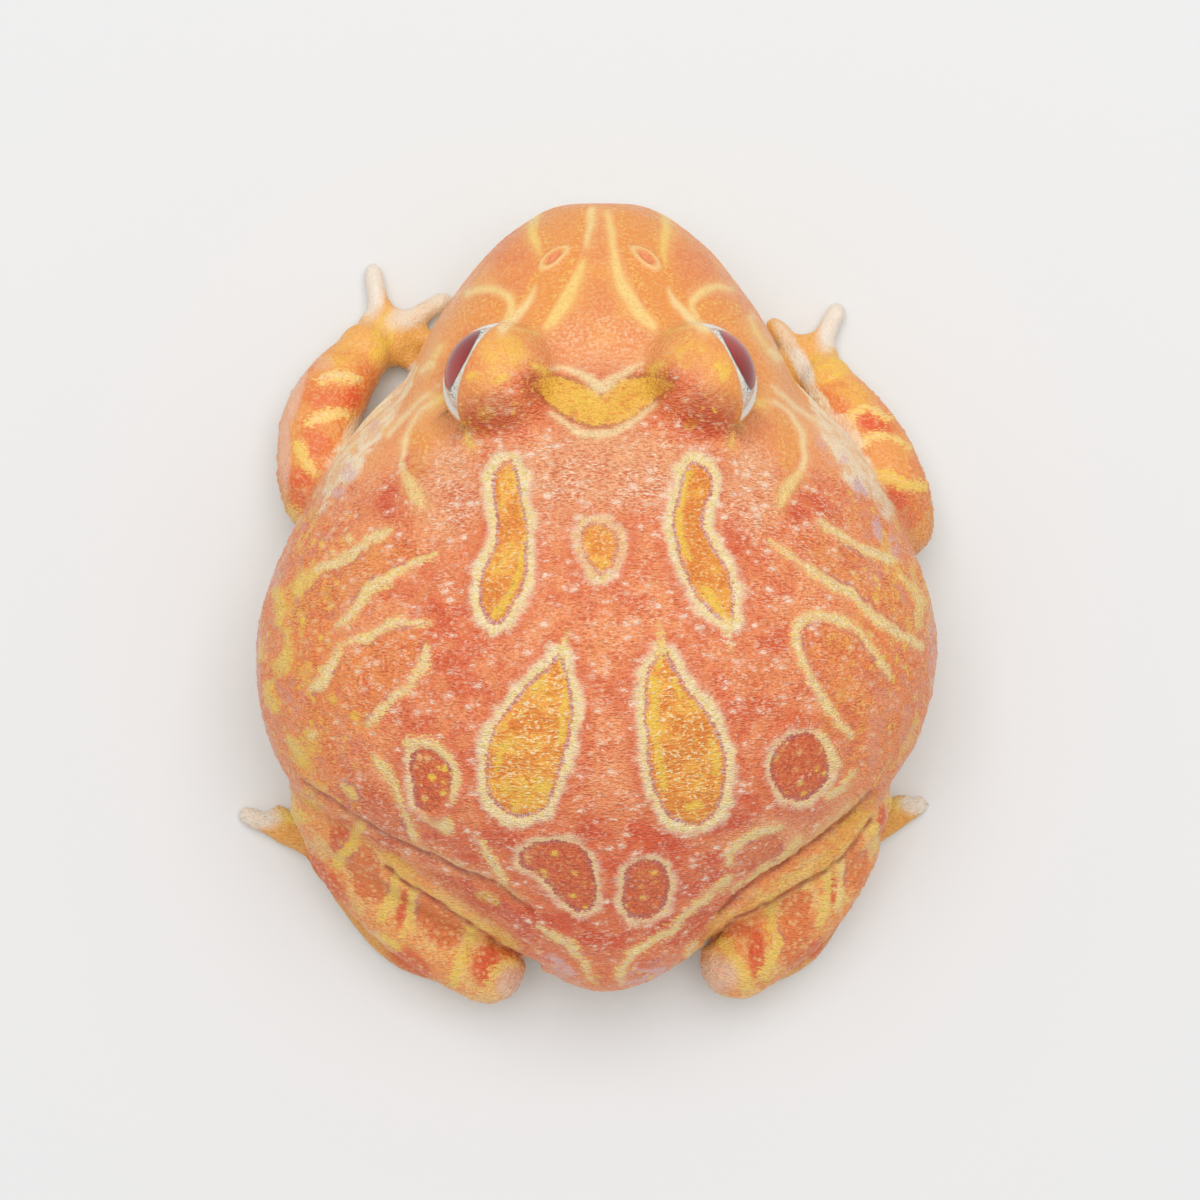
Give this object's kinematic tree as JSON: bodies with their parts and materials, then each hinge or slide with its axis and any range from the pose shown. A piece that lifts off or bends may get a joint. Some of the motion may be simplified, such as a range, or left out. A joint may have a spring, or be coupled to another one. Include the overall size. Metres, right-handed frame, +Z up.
{
  "type": "argentine horned frog",
  "caption": "Squat, round-bodied horned frog sitting flat on its belly with folded legs: a still, life-size display model of the whole living animal.",
  "frame": {"origin": "on the flat of the belly that the frog rests on, on its midline, below the middle of the body's length", "axes": "+Y from snout to vent, so that the frog faces -Y; +Z up from the floor; +X to the frog's own left"},
  "size_m": [0.0919, 0.1032, 0.048],
  "materials": {
    "back_skin": "moist warty skin, red-orange with cream-edged marks",
    "head_skin": "moist fine skin, orange with cream lines",
    "leg_skin": "moist grainy skin, orange with yellow crossbars",
    "toe_skin": "moist thin skin, yellow fading to pale pink at the tips",
    "eye": "wet and glossy, pale iris with a dark red pupil"
  },
  "bodies": {
    "root": {"torso": "back_skin", "head": "head_skin", "eye_left": "eye", "eye_right": "eye", "upper_arm_left": "leg_skin", "upper_arm_right": "leg_skin", "forearm_left": "leg_skin", "forearm_right": "leg_skin", "hand_left": "toe_skin", "hand_right": "toe_skin", "thigh_left": "leg_skin", "thigh_right": "leg_skin", "shank_left": "leg_skin", "shank_right": "leg_skin", "foot_left": "toe_skin", "foot_right": "toe_skin"}
  },
  "joints": []
}
